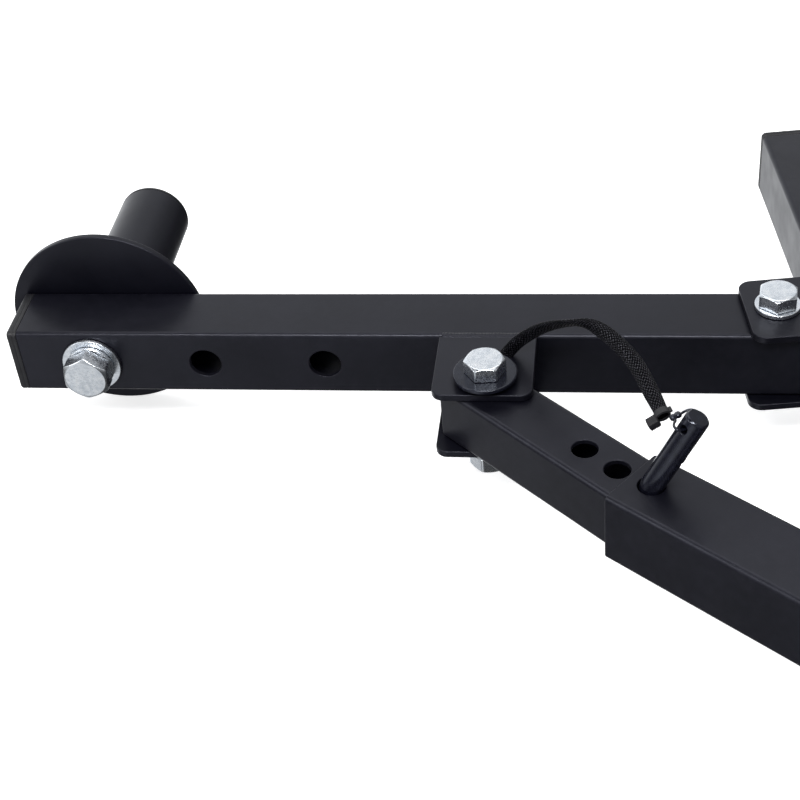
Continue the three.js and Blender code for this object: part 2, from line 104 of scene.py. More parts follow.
# Fasteners: thread radius, pitch, width across flats
M16 = {"radius": 8, "pitch": 2.0, "flats": 24}
M20 = {"radius": 10, "pitch": 2.5, "flats": 30}
CHAMFER_SLOPE = math.tan(math.radians(30))

# Locking pin, as in the frame: straight shank, a bend towards +X, and the handle
PIN_RADIUS = 7.25
PIN_BEND_START = 21
PIN_BEND_RADIUS = 16
PIN_BEND = math.radians(25)
PIN_HANDLE = 56.5
CROSS_HOLE_BACK = 8.5
CROSS_HOLE_TURN = math.radians(-45)
CROSS_HOLE = 2.75
CREASE_BACK = 34

# Lanyard: its way from the eye to the cable tie, in the arm's axes
# A little more than the cord's diameter, and less than the distance between its rings of points
CORD_RING = 4

SLEEVE_WIDTH = 9.8
SLEEVE_THICKNESS = 3
STRANDS = 16
STRAND_TURN_LENGTH = 46
STRAND_HEIGHT = 0.34
TIE_HEAD = 6.8
TOWARDS_VIEWER = Vector((-0.13, -0.77, 0.62))

JOINTS = {joint["name"]: joint for joint in frame["joints"]}
BODY = {node: body for body, nodes in frame["record"]["behaviour"]["bodies"].items() for node in nodes}
SLOT = {part["node"]: part["material_slot"] for part in frame["record"]["subparts"]}


# ---- Places ----------------------------------------------------------------------------------

def moved(place, x=0.0, y=0.0, z=0.0, turn=0.0, axis="Z"):
    """A place shifted by millimetres in its own axes, then turned."""
    return place @ Matrix.Translation(Vector((x, y, z)) * MM) @ Matrix.Rotation(turn, 4, axis)


def extent(node, place):
    """Lowest and highest corner of a frame node in a place's own axes, in millimetres."""
    inverse = place.inverted()
    points = np.array([inverse @ v.co for v in frame["nodes"][node].data.vertices]) / MM
    return Vector(points.min(0)), Vector(points.max(0))


def centre_line(node, place, first):
    """Centres of a drawn bar's rings of points, in a place's own axes, from the end nearest to first."""
    inverse = place.inverted()
    points = np.array([inverse @ v.co for v in frame["nodes"][node].data.vertices]) / MM
    points = np.unique(points.round(3), axis=0)
    at = np.array(first)
    line = []
    while len(points):
        nearest = points[np.linalg.norm(points - at, axis=1).argmin()]
        ring_points = np.linalg.norm(points - nearest, axis=1) < CORD_RING
        at = points[ring_points].mean(0)
        line.append(tuple(at))
        points = points[~ring_points]
    return line


DRAWBAR = Matrix.Identity(4)
PIVOT = Matrix.Translation(JOINTS["arm_swing"]["pos_m"])
ARM = PIVOT @ Matrix.Rotation(ARM_TURN, 4, "Z")
CLEVIS = Matrix.Translation(JOINTS["brace_fold"]["pos_m"]) @ Matrix.Rotation(ARM_TURN, 4, "Z")
BRACE = moved(CLEVIS, turn=BRACE_TURN)
OUTER = moved(BRACE, x=PIN_HOLES_X[-1], turn=OUTER_TURN)
PIN = moved(BRACE, x=PIN_HOLES_X[-1], turn=PIN_LEAN - BRACE_TURN)
PEG = moved(ARM, x=sum(corner.x for corner in extent("peg_flange", ARM)) / 2, turn=-math.pi / 2, axis="X")
FOOT = moved(PIVOT, y=sum(corner.y for corner in extent("foot_bracket_upper_washer", PIVOT)) / 2)
LANYARD_WAY = centre_line("lanyard_cord", ARM, ARM.inverted() @ CLEVIS.translation / MM)


# ---- Shapes: lists of points in millimetres and of faces ------------------------------------------

def loft(rings, loop=False):
    """Faces between rings of equally many points. Without loop, the first and last ring are closed."""
    count = len(rings[0])
    points = [tuple(p) for ring in rings for p in ring]
    faces = []
    for i in range(len(rings) if loop else len(rings) - 1):
        a, b = i * count, (i + 1) % len(rings) * count
        for k in range(count):
            after = (k + 1) % count
            faces.append((a + k, a + after, b + after, b + k))
    if not loop:
        faces.append(tuple(reversed(range(count))))
        faces.append(tuple(range(len(points) - count, len(points))))
    return points, faces


def transformed(shape, matrix):
    points, faces = shape
    return [tuple(matrix @ Vector(p)) for p in points], faces


def shifted(shape, x, y=0.0, z=0.0):
    points, faces = shape
    return [(px + x, py + y, pz + z) for px, py, pz in points], faces


def along_x(shape):
    """Turns a shape's Z axis to +X, and its X axis to +Y."""
    return transformed(shape, Matrix(((0, 0, 1), (1, 0, 0), (0, 1, 0))))


def along_y(shape):
    """Turns a shape's Z axis to +Y."""
    return transformed(shape, Matrix.Rotation(-math.pi / 2, 3, "X"))


def rectangle(x0, y0, x1, y1, radii, steps=6):
    """Outline of a rounded rectangle, as a function of its inset."""
    corners = ((x0, y0, 1, 1, 180), (x1, y0, -1, 1, 270), (x1, y1, -1, -1, 0), (x0, y1, 1, -1, 90))

    def outline(inset):
        points = []
        for (x, y, in_x, in_y, start), radius in zip(corners, radii):
            for k in range(steps + 1):
                angle = math.radians(start + 90 * k / steps)
                px = x + in_x * radius + (radius - inset) * math.cos(angle)
                py = y + in_y * radius + (radius - inset) * math.sin(angle)
                points.append((px, py))
        return points

    return outline


def square(side, radius):
    h = side / 2
    return rectangle(-h, -h, h, h, (radius,) * 4)


def circle(radius, steps=64):
    def outline(inset):
        angles = np.arange(steps) * TAU / steps
        return [((radius - inset) * math.cos(a), (radius - inset) * math.sin(a)) for a in angles]

    return outline


def rim(edge, steps=4):
    """Inset and rise of a quarter round, from the flat end to the side."""
    angles = np.linspace(0, math.pi / 2, steps + 1)
    return [(edge * (1 - math.sin(a)), edge * (1 - math.cos(a))) for a in angles]


def layers(outline, profile, loop=False):
    """A loft of one outline through a profile of insets and heights."""
    return loft([[(x, y, z) for x, y in outline(inset)] for inset, z in profile], loop)


def prism(outline, low, high, edge):
    """A solid prism along Z whose two rims are rounded."""
    lower = [(inset, low + rise) for inset, rise in rim(edge)]
    upper = [(inset, high - rise) for inset, rise in reversed(rim(edge))]
    return layers(outline, lower + upper)


def tube(outline, low, high, wall, edge, inner_edge):
    """A hollow prism along Z, open at both ends, with rounded rims."""
    outer = [(inset, low + rise) for inset, rise in rim(edge)]
    outer += [(inset, high - rise) for inset, rise in reversed(rim(edge))]
    inner = [(wall - inset, high - rise) for inset, rise in rim(inner_edge)]
    inner += [(wall - inset, low + rise) for inset, rise in reversed(rim(inner_edge))]
    return layers(outline, outer + inner, loop=True)


def ring(outer, inner, low, high, edge, steps=72):
    return tube(circle(outer, steps), low, high, outer - inner, edge, edge)


def drill(radius, low, high, flare=HOLE_FLARE):
    """A cutter along Z that leaves the hole's two rims, at low and at high, rounded."""
    lower = [(-flare, low - 1)] + [(-inset, low + rise) for inset, rise in rim(flare)]
    upper = [(-inset, high - rise) for inset, rise in reversed(rim(flare))] + [(-flare, high + 1)]
    return layers(circle(radius, 56), lower + upper)


def mesh_from(name, shape):
    """A closed mesh, in metres, with its faces turned out."""
    points, faces = shape
    mesh = bpy.data.meshes.new(name)
    mesh.from_pydata([Vector(p) * MM for p in points], [], faces)
    work = bmesh.new()
    work.from_mesh(mesh)
    bmesh.ops.remove_doubles(work, verts=work.verts, dist=1e-3 * MM)
    bmesh.ops.recalc_face_normals(work, faces=work.faces)
    work.to_mesh(mesh)
    work.free()
    return mesh


def cut(shape, *tools):
    """A shape less its tools."""
    base = bpy.data.objects.new("cut_base", mesh_from("cut_base", shape))
    made = [base]
    for tool in tools:
        cutter = bpy.data.objects.new("cut_tool", mesh_from("cut_tool", tool))
        made.append(cutter)
        modifier = base.modifiers.new("cut", "BOOLEAN")
        modifier.operation = "DIFFERENCE"
        modifier.solver = "EXACT"
        modifier.object = cutter
    for thing in made:
        bpy.context.scene.collection.objects.link(thing)
    solved = bpy.data.meshes.new_from_object(base.evaluated_get(bpy.context.evaluated_depsgraph_get()))
    points = [tuple(v.co / MM) for v in solved.vertices]
    faces = [tuple(p.vertices) for p in solved.polygons]
    for thing in made:
        bpy.data.objects.remove(thing)
    return points, faces


def resampled(points, step):
    """Points at equal steps along a smooth curve through the given points."""
    known = np.array(points, float)
    padded = np.vstack([2 * known[0] - known[1], known, 2 * known[-1] - known[-2]])
    fine = []
    for i in range(len(known) - 1):
        p0, p1, p2, p3 = padded[i : i + 4]
        for t in np.linspace(0, 1, 40, endpoint=False):
            bend = (2 * p0 - 5 * p1 + 4 * p2 - p3) * t * t + (3 * p1 - p0 - 3 * p2 + p3) * t ** 3
            fine.append((2 * p1 + (p2 - p0) * t + bend) / 2)
    fine.append(known[-1])
    fine = np.array(fine)
    travel = np.concatenate([[0], np.cumsum(np.linalg.norm(np.diff(fine, axis=0), axis=1))])
    stops = np.linspace(0, travel[-1], max(2, round(travel[-1] / step)) + 1)
    return np.stack([np.interp(stops, travel, fine[:, k]) for k in range(3)], 1)


def sweep(path, side, section, loop=False):
    """A section drawn along a path. section(share, distance) gives points across and up; across lies
    as near as it can to side, which is one direction or one for each point."""
    path = np.array(path, float)
    if loop:
        tangents = np.roll(path, -1, 0) - np.roll(path, 1, 0)
    else:
        tangents = np.gradient(path, axis=0)
    tangents /= np.linalg.norm(tangents, axis=1)[:, None]
    across = np.broadcast_to(np.array(side, float), path.shape)
    across = across - (across * tangents).sum(1)[:, None] * tangents
    across /= np.linalg.norm(across, axis=1)[:, None]
    up = np.cross(tangents, across)
    steps = np.linalg.norm(np.diff(path, axis=0), axis=1)
    travel = np.concatenate([[0], np.cumsum(steps)])
    rings = []
    for i, at in enumerate(path):
        outline = np.array(section(travel[i] / travel[-1], travel[i]), float)
        rings.append(at + outline[:, :1] * across[i] + outline[:, 1:] * up[i])
    return loft(rings, loop)


# ---- Materials -------------------------------------------------------------------------------

def node(tree, kind, inputs, output=0, **settings):
    """Adds a shader node. An input is a value or another node's output socket."""
    made = tree.nodes.new("ShaderNode" + kind)
    for name, value in settings.items():
        setattr(made, name, value)
    for name, value in inputs.items():
        if isinstance(value, bpy.types.NodeSocket):
            tree.links.new(value, made.inputs[name])
        else:
            made.inputs[name].default_value = value
    return made.outputs[output]


def noise(tree, where, per_metre, detail=2.0):
    return node(tree, "TexNoise", {"Vector": where, "Scale": per_metre, "Detail": detail})


def mapped(tree, value, low, high, to_low, to_high):
    inputs = {"Value": value, "From Min": low, "From Max": high, "To Min": to_low, "To Max": to_high}
    return node(tree, "MapRange", inputs)


def ramp(tree, value, *stops):
    """Colours at places from 0 to 1."""
    made = tree.nodes.new("ShaderNodeValToRGB")
    tree.links.new(value, made.inputs["Fac"])
    elements = made.color_ramp.elements
    while len(elements) < len(stops):
        elements.new(0.5)
    for element, (place, colour) in zip(elements, stops):
        element.position = place
        element.color = (*colour, 1)
    return made.outputs["Color"]


def bumps(tree, *heights):
    """Bump nodes one after another, each from a height, its depth in metres and its strength."""
    normal = None
    for height, depth, strength in heights:
        inputs = {"Height": height, "Distance": depth, "Strength": strength}
        if normal is not None:
            inputs["Normal"] = normal
        normal = node(tree, "Bump", inputs)
    return normal


def material(name):
    """A new material, its node tree, its shader's inputs and the object's own coordinates."""
    made = bpy.data.materials.new(name)
    made.use_nodes = True
    tree = made.node_tree
    where = node(tree, "TexCoord", {}, output="Object")
    return made, tree, tree.nodes["Principled BSDF"].inputs, where


def connect(tree, shader, **inputs):
    """Sets the shader's inputs; an underscore stands for a space."""
    for name, value in inputs.items():
        socket = shader[name.replace("_", " ")]
        if isinstance(value, bpy.types.NodeSocket):
            tree.links.new(value, socket)
        else:
            socket.default_value = value


def powder_coat():
    """Satin black powder coat, faintly blue: fine orange peel, mottling, a patchy painted highlight that makes convex
    edges paler, and painted shade in hollows.
    """
    made, tree, shader, where = material("black_powder_coat")
    mottle = noise(tree, where, 22, 3)
    colour = ramp(tree, mottle, (0.3, (0.0022, 0.0022, 0.0042)), (0.7, (0.0042, 0.0042, 0.0072)))
    # Painted highlight: convex edges, found by pointiness and broken up by noise, are painted a paler colour.
    convex = mapped(tree, node(tree, "NewGeometry", {}, output="Pointiness"), 0.52, 0.6, 0.0, 1.0)
    patchy = mapped(tree, noise(tree, where, 160, 4), 0.42, 0.66, 0.1, 0.7)
    edge = node(tree, "Math", {0: convex, 1: patchy}, operation="MULTIPLY")
    colour_with_painted_highlight = node(tree, "Mix", {0: edge, 6: colour, 7: (0.022, 0.022, 0.03, 1)}, 2, data_type="RGBA")
    specks = mapped(tree, noise(tree, where, 1300, 1), 0.7, 0.78, 0.0, 0.25)
    dusted = node(tree, "Mix", {0: specks, 6: colour_with_painted_highlight, 7: (0.03, 0.03, 0.035, 1)}, 2, data_type="RGBA")
    rough = mapped(tree, noise(tree, where, 60, 4), 0.3, 0.7, 0.3, 0.38)
    peel = bumps(tree, (noise(tree, where, 620, 2), 0.00004, 0.4), (noise(tree, where, 3200, 1), 0.00001, 0.4))
    # Painted shade: the coat's reflection is cut where ambient occlusion is low, so hole interiors, hollows and contact
    # regions go black.
    occlusion_for_painted_shade = node(tree, "AmbientOcclusion", {"Distance": 0.05}, output="AO")
    shine = mapped(tree, occlusion_for_painted_shade, 0.3, 0.75, 0.0, 0.3)
    connect(tree, shader, Base_Color=dusted, Roughness=rough, Specular_IOR_Level=shine, Normal=peel)
    connect(tree, shader, Specular_Tint=(0.84, 0.86, 1.0, 1))
    return made


def zinc_plate():
    """Bright zinc plate: mottled pale metal, a little blue, with fine rolling marks."""
    made, tree, shader, where = material("bright_zinc")
    cloud = noise(tree, where, 240, 4)
    colour = ramp(tree, cloud, (0.3, (0.6, 0.64, 0.69)), (0.55, (0.76, 0.79, 0.83)), (0.8, (0.86, 0.87, 0.88)))
    rough = mapped(tree, noise(tree, where, 700, 5), 0.3, 0.7, 0.2, 0.34)
    stretched = node(tree, "Mapping", {"Vector": where, "Scale": (1, 7, 1)})
    marks = noise(tree, stretched, 900, 4)
    dents = bumps(tree, (marks, 0.00002, 0.12), (noise(tree, where, 420, 3), 0.00006, 0.14))
    connect(tree, shader, Base_Color=colour, Metallic=1.0, Roughness=rough, Normal=dents)
    return made


def black_gloss():
    """Oiled black oxide: dark, glossy, with a faint blue cast and fine wear."""
    made, tree, shader, where = material("black_oxide_gloss")
    colour = ramp(tree, noise(tree, where, 180, 4), (0.3, (0.0025, 0.0025, 0.005)), (0.75, (0.006, 0.0065, 0.012)))
    rough = mapped(tree, noise(tree, where, 320, 5), 0.3, 0.7, 0.12, 0.24)
    dents = bumps(tree, (noise(tree, where, 260, 3), 0.00012, 0.25), (noise(tree, where, 2400, 2), 0.00001, 0.3))
    connect(tree, shader, Base_Color=colour, Roughness=rough, Specular_IOR_Level=0.5, Normal=dents)
    connect(tree, shader, Specular_Tint=(0.82, 0.87, 1.0, 1))
    return made


def moulded_plastic():
    """Black moulded plastic with a fine spark-eroded grain."""
    made, tree, shader, where = material("black_moulded_plastic")
    colour = ramp(tree, noise(tree, where, 90, 3), (0.3, (0.006, 0.006, 0.008)), (0.7, (0.011, 0.011, 0.013)))
    rough = mapped(tree, noise(tree, where, 1500, 2), 0.3, 0.7, 0.4, 0.56)
    cells = node(tree, "TexVoronoi", {"Vector": where, "Scale": 2300.0})
    grain = bumps(tree, (cells, 0.00004, 0.35), (noise(tree, where, 500, 3), 0.00004, 0.25))
    connect(tree, shader, Base_Color=colour, Roughness=rough, Specular_IOR_Level=0.4, Normal=grain)
    return made


def woven_sleeve():
    """Black polyester braid, with a painted highlight of bright flecks along the tops of the strands and painted shade,
    near black, between them.
    """
    made, tree, shader, where = material("black_braid")
    height = node(tree, "Attribute", {}, output="Fac", attribute_name="strand")
    fibres = noise(tree, where, 3800, 2)
    # Painted light and shade: strand tops, by weave height, are painted bright and the gaps between strands near black.
    painted_strand_light = node(tree, "Math", {0: height, 1: fibres}, operation="MULTIPLY")
    colour = ramp(tree, painted_strand_light, (0.36, (0.001, 0.001, 0.0016)), (0.5, (0.004, 0.004, 0.006)), (0.62, (0.16, 0.16, 0.19)))
    # Painted shade: the reflection is weaker between the strands than on their tops.
    shine = mapped(tree, height, 0.6, 0.95, 0.01, 0.22)
    hairs = bumps(tree, (fibres, 0.00005, 0.5))
    connect(tree, shader, Base_Color=colour, Roughness=0.42, Specular_IOR_Level=shine, Normal=hairs)
    return made


# Strength of the room's light. Low: on the viewer's side to the left and right, at the left, and
# behind. High: on the viewer's side, behind, to the right, and overhead
LOW_LEFT_LIGHT = 1.0
LOW_SIDE_LIGHT = 0.15
LOW_RIGHT_LIGHT = 0.06
LOW_BACK_LIGHT = 1.6
HIGH_FRONT_LIGHT = 0.5
HIGH_BACK_LIGHT = 1.1
HIGH_RIGHT_LIGHT = 0.4
OVERHEAD_LIGHT = 0.12

MATERIALS = {
    "black_coat": powder_coat(),
    "zinc": zinc_plate(),
    "black_oxide": black_gloss(),
    "black_plastic": moulded_plastic(),
    "braid": woven_sleeve(),
}


# ---- Pieces ----------------------------------------------------------------------------------

def show(name, body, slot, shape, place, flat=True):
    """A visible piece. flat keeps large faces level beside their rounded edges."""
    mesh = mesh_from(name, shape)
    mesh.shade_smooth()
    if flat:
        mesh.set_sharp_from_angle(angle=math.radians(50))
    mesh.materials.append(MATERIALS[slot])
    thing = bpy.data.objects.new(name, mesh)
    bpy.context.scene.collection.objects.link(thing)
    thing.matrix_world = place
    if flat:
        weighted = thing.modifiers.new("flat_faces", "WEIGHTED_NORMAL")
        weighted.keep_sharp = True
    if body:
        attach(thing, body)
    return thing


def stand_for(node_name, shape, place, flat=True):
    """A piece in place of one frame node, on its body and with its finish."""
    thing = show(node_name + ".visual", BODY[node_name], SLOT[node_name], shape, place, flat)
    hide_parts(node_name)
    return thing


def square_tube(node_name, place, corner, wall, drills=()):
    """A square tube along X that fills its node's box in the place's axes."""
    low, high = extent(node_name, place)
    body = along_x(tube(square(high.z - low.z, corner), low.x, high.x, wall, TUBE_RIM, 0.3))
    if drills:
        body = cut(body, *drills)
    stand_for(node_name, body, place)


def end_cap(node_name, place, outer, thickness):
    """A moulded cap on a square tube's end, facing +Z of its place: a cushioned face, a raised rim
    line where the mould parts, and a hollow plug."""
    soft = 2.2
    face = [(soft * (1 - math.sin(a)), thickness - soft * (1 - math.cos(a))) for a in np.linspace(0, TAU / 4, 6)]
    parting = [(0, thickness * 0.45), (0.25, thickness * 0.4), (0.25, thickness * 0.34), (0, thickness * 0.28)]
    flange = [(9, thickness - 0.35), (6, thickness - 0.05)] + face + parting + [(0, 0.4), (0.4, 0)]
    plug = [(4, 0), (4, -14.2), (4.8, -15), (6.2, -15), (6.5, -14), (6.5, -1)]
    shape = layers(square(outer, BEAM_CORNER), flange + plug)
    stand_for(node_name, shape, place)


def plate(node_name, place, radii, holes):
    """A flat plate that fills its node's box, with rounded corners and rims."""
    low, high = extent(node_name, place)
    outline = rectangle(low.x, low.y, high.x, high.y, radii, steps=8)
    body = prism(outline, low.z, high.z, PLATE_RIM)
    cutters = [shifted(drill(radius, low.z, high.z), x, y) for x, y, radius in holes]
    stand_for(node_name, cut(body, *cutters), place)


def washer(node_name, place, inner, edge=0.45):
    """A flat ring that fills its node's box."""
    low, high = extent(node_name, place)
    stand_for(node_name, ring((high.x - low.x) / 2, inner, low.z, high.z, edge), place)


HEX_ANGLES = np.arange(96) * TAU / 96


def hex_reach(flats):
    """Distance from the axis to a hexagon's slightly rounded outline, at each of HEX_ANGLES."""
    sides = np.arange(6) * TAU / 6
    facing = np.maximum(np.cos(HEX_ANGLES[:, None] - sides), 0)
    return flats / 2 / (facing ** 60).sum(1) ** (1 / 60)


def polar(rings, loop=False):
    """A loft of rings given as a radius and a height, each a number or one for each angle."""
    made = []
    for radius, height in rings:
        r = np.broadcast_to(np.asarray(radius, float), HEX_ANGLES.shape)
        z = np.broadcast_to(np.asarray(height, float), HEX_ANGLES.shape)
        made.append(np.stack([r * np.cos(HEX_ANGLES), r * np.sin(HEX_ANGLES), z], 1))
    return loft(made, loop)


def chamfered_side(flats, face, sense):
    """Rings from the flat face of a hexagon, over its turned chamfer, to its side. sense is +1 where
    the face is the high end."""
    reach = hex_reach(flats)
    flat = flats * 0.472
    soft = 0.3

    def height(radius):
        return face - sense * np.maximum(radius - flat, 0) * CHAMFER_SLOPE

    return [
        (flat - soft, face),
        (flat, face - sense * soft * 0.25),
        (flat + soft, height(flat + soft) - sense * 0.02),
        (reach - soft, height(reach - soft)),
        (reach - soft * 0.3, height(reach) - sense * soft * 0.35),
        (reach, height(reach) - sense * soft),
    ]


def thread_rings(size, start, end):
    """Rings of a helical thread from height start down to end, finished by a chamfered tip."""
    depth = size["pitch"] * 0.55
    tip = size["radius"] - depth - 0.3
    rings = []
    for z in np.arange(start, end + depth, -size["pitch"] / 8):
        phase = (z / size["pitch"] - HEX_ANGLES / TAU) % 1
        ridge = np.clip(np.abs(phase * 2 - 1) * 1.25, 0.06, 1)
        fade = min(1, (start - z) / size["pitch"])
        taper = max(0.0, (end + 1.6 * depth - z) / depth)
        rings.append((np.minimum(size["radius"] - depth * ridge * fade, size["radius"] - taper), z))
    return rings + [(tip, end + 0.1), (tip - 0.4, end), (0, end)]


def bolt_shape(size, head, length, thread):
    """A hex bolt: its head stands on z = 0 and its shank goes down."""
    reach = hex_reach(size["flats"])
    rings = [(0, head)] + chamfered_side(size["flats"], head, 1)
    rings += [(reach, 0.3), (reach - 0.3, 0), (size["radius"] + 0.5, 0), (size["radius"], -0.5)]
    return polar(rings + thread_rings(size, thread - length, -length))


def nut_shape(size, height):
    """A hex nut from z = 0 up, turned at both ends, with a countersunk bore."""
    bore = size["radius"] + 0.3
    lower = [(bore, 1.2), (bore + 1.1, 0.05), (bore + 1.4, 0)] + chamfered_side(size["flats"], 0, -1)
    upper = chamfered_side(size["flats"], height, 1)[::-1]
    upper += [(bore + 1.4, height), (bore + 1.1, height - 0.05), (bore, height - 1.2)]
    return polar(lower + upper, loop=True)


def fillet(path, outwards, leg, pitch, crown=0.5, loop=False):
    """A rippled weld bead along a level path: one leg lies on the face below, going outwards, and the
    other stands against the plate's edge."""

    def section(share, distance):
        points = [(0, 0), (leg, 0)]
        for k in range(1, 8):
            a = k / 8
            lag = 0.9 * math.sin(math.pi * a)
            wave = (distance / pitch - lag) % 1
            ripple = 0.3 * (wave ** 0.6 - 0.5)
            wobble = 0.16 * math.sin(distance * 0.31) + 0.1 * math.sin(distance * 0.83 + 2)
            rise = math.sin(math.pi * a) * (crown + ripple + wobble)
            points.append((leg * (1 - a) + rise * 0.7, leg * a + rise * 0.7))
        points.append((0, leg))
        return points

    return sweep(path, outwards, section, loop)


# ---- Drawbar ---------------------------------------------------------------------------------

def through_bolt(prefix, place, turn):
    """The bolt and nut of a bracket or clevis, from their nodes' heights."""
    low, high = extent(prefix + "_bolt", place)
    seat = extent(prefix + "_nut", place)[1].z
    nut_height = seat - extent(prefix + "_nut", place)[0].z
    head = 10
    bolt = bolt_shape(M16, head, high.z - head - low.z, nut_height + 7)
    stand_for(prefix + "_bolt", bolt, moved(place, z=high.z - head, turn=turn))
    stand_for(prefix + "_nut", nut_shape(M16, nut_height), moved(place, z=seat - nut_height, turn=-turn / 2))


def bracket_weld(node_name, place, upper):
    """A bead along the three edges of a bracket plate that lie on the drawbar."""
    plate_low, plate_high = extent(node_name.replace("_weld", "_plate"), place)
    low, high = extent(node_name, place)
    side = 0.12
    corner = CUT_CORNER + side
    left, right = low.x + 1, plate_high.x + side
    front, back = plate_low.y - side, plate_high.y + side
    path, outwards = [], []
    for x in np.arange(left, right - corner, 0.5):
        path.append((x, front))
        outwards.append((0, -1, 0))
    for centre_y, start in ((front + corner, -90), (back - corner, 0)):
        for k in range(9):
            a = math.radians(start + 90 * k / 8)
            path.append((right - corner + corner * math.cos(a), centre_y + corner * math.sin(a)))
            outwards.append((math.cos(a), math.sin(a), 0))
        if start == -90:
            for y in np.arange(front + corner + 0.5, back - corner, 0.5):
                path.append((right, y))
                outwards.append((1, 0, 0))
    for x in np.arange(right - corner, left, -0.5):
        path.append((x, back))
        outwards.append((0, 1, 0))
    base = low.z if upper else -high.z
    level = [(x, y, base) for x, y in path]
    shape = fillet(level, outwards, high.z - low.z - 0.5, 2.3)
    # The sweep's own up is down here, so a bead is laid upside down and turned over.
    points, faces = shape
    flip = 1 if upper else -1
    shape = [(x, y, flip * (2 * base - z if z < base else z)) for x, y, z in points], faces
    stand_for(node_name, shape, place, flat=False)


def bracket(prefix, place, turn):
    corners = (BRACKET_CORNER, CUT_CORNER, CUT_CORNER, BRACKET_CORNER)
    for level, upper in (("_upper", True), ("_lower", False)):
        plate(prefix + level + "_plate", place, corners, [(0, 0, BOLT_HOLE)])
        bracket_weld(prefix + level + "_weld", place, upper)
        washer(prefix + level + "_washer", place, BOLT_HOLE)
    through_bolt(prefix, place, turn)


def drawbar():
    low, high = extent("drawbar_tube", DRAWBAR)
    middle = (low.x + high.x) / 2
    square_tube("drawbar_tube", moved(DRAWBAR, x=middle, turn=TAU / 4), BEAM_CORNER, WALL)
    rear_low, rear_high = extent("drawbar_rear_cap", DRAWBAR)
    thickness = rear_high.y - high.y
    rear = moved(DRAWBAR, x=middle, y=high.y, turn=-math.pi / 2, axis="X")
    front = moved(DRAWBAR, x=middle, y=low.y, turn=math.pi / 2, axis="X")
    end_cap("drawbar_rear_cap", rear, rear_high.x - rear_low.x, thickness)
    end_cap("drawbar_front_cap", front, rear_high.x - rear_low.x, thickness)
    bracket("arm_bracket", PIVOT, ARM_BOLT_TURN)
    bracket("foot_bracket", FOOT, FOOT_BOLT_TURN)


# ---- Arm, clevis and peg ---------------------------------------------------------------------

def arm():
    low, high = extent("arm_tube", ARM)
    peg_x = sum(corner.x for corner in extent("peg_flange", ARM)) / 2
    cutters = [drill(BUSH_HOLE, low.z, high.z)]
    for x in (peg_x, *SPARE_HOLES_X):
        cutters.append(shifted(along_y(drill(ARM_HOLE, low.y, high.y)), x))
    square_tube("arm_tube", ARM, BEAM_CORNER, WALL, cutters)
    cap_low, cap_high = extent("arm_end_cap", ARM)
    cap_place = moved(ARM, x=low.x, turn=-math.pi / 2, axis="Y")
    end_cap("arm_end_cap", cap_place, cap_high.y - cap_low.y, low.x - cap_low.x)


def clevis_weld(node_name, plate_name, upper):
    """A rippled bead in the groove between a clevis plate's back edge and the arm's corner."""
    low, high = extent(node_name, ARM)
    centre = extent("arm_tube", ARM)[1].z - BEAM_CORNER
    plate_low, plate_high = extent(plate_name, ARM)
    edge = plate_high.y
    top = plate_high.z if upper else -plate_low.z
    flip = 1 if upper else -1
    reach = BEAM_CORNER + 0.12
    root = [(-centre + reach * math.cos(a), centre + reach * math.sin(a)) for a in np.linspace(0.95, 0.55, 7) * math.pi]
    toe = (edge - 0.8, top - 0.1)

    def section(share, distance):
        points = list(root)
        wave = (distance / 2.3) % 1
        wobble = 0.16 * math.sin(distance * 0.37 + 1)
        for k in range(1, 12):
            a = k / 12
            ripple = 0.32 * (((wave - 0.6 * math.sin(math.pi * a)) % 1) ** 0.6 - 0.5)
            rise = math.sin(math.pi * a) * (1.3 + ripple + wobble)
            y, z = (root[-1][i] + (toe[i] - root[-1][i]) * a for i in (0, 1))
            points.append((y, z + rise))
        points += [toe, (toe[0], top - 1.5), (edge + 0.5, centre)]
        return [(y, flip * z) for y, z in points]

    path = [(x, 0, 0) for x in np.arange(low.x, high.x + 0.2, 0.35)]
    stand_for(node_name, sweep(path, (0, 1, 0), section), ARM, flat=False)


def clevis():
    pivot = ARM.inverted() @ CLEVIS.translation / MM
    corners = (CLEVIS_CORNER, CLEVIS_CORNER, CUT_CORNER, CUT_CORNER)
    for level, upper in (("upper", True), ("lower", False)):
        plate(f"clevis_{level}_plate", ARM, corners, [(pivot.x, pivot.y, BOLT_HOLE)])
        clevis_weld(f"clevis_{level}_weld", f"clevis_{level}_plate", upper)
    washer("clevis_wide_washer", CLEVIS, BOLT_HOLE, edge=0.9)
    washer("clevis_lower_washer", CLEVIS, BOLT_HOLE)
    through_bolt("clevis", CLEVIS, CLEVIS_BOLT_TURN)


def spring_washer():
    """A split ring of square wire: its two ends stand a little out of line beside the slit."""
    low, high = extent("peg_spring_washer", PEG)
    outer, inner = (high.x - low.x) / 2, 10.5
    wire, thick = outer - inner, high.z - low.z - 0.5
    middle = (low.z + high.z) / 2
    slit = math.radians(7)
    path = []
    for angle in np.linspace(TAU / 4 + slit, TAU * 5 / 4 - slit, 90):
        lift = 0.22 * (angle - TAU * 3 / 4) / (TAU / 2)
        reach = (outer + inner) / 2
        path.append((reach * math.cos(angle), reach * math.sin(angle), middle + lift))
    outwards = [(x, y, 0) for x, y, z in path]
    corner = rectangle(-wire / 2, -thick / 2, wire / 2, thick / 2, (0.5,) * 4, steps=3)(0)
    return sweep(path, outwards, lambda share, distance: corner)


def peg_weld_shape():
    """A rippled fillet all round the peg, where it stands on the flange."""
    low, high = extent("peg_weld", PEG)
    inner = 25.55
    reach = (high.x - low.x) / 2 - inner - 0.3
    angles = np.linspace(0, TAU, 360, endpoint=False)
    path = [(inner * math.cos(a), inner * math.sin(a), low.z) for a in angles]
    outwards = [(math.cos(a), math.sin(a), 0) for a in angles]
    points, faces = fillet(path, outwards, reach, 2.4, crown=0.35, loop=True)
    return [(x, y, 2 * low.z - z if z < low.z else z) for x, y, z in points], faces


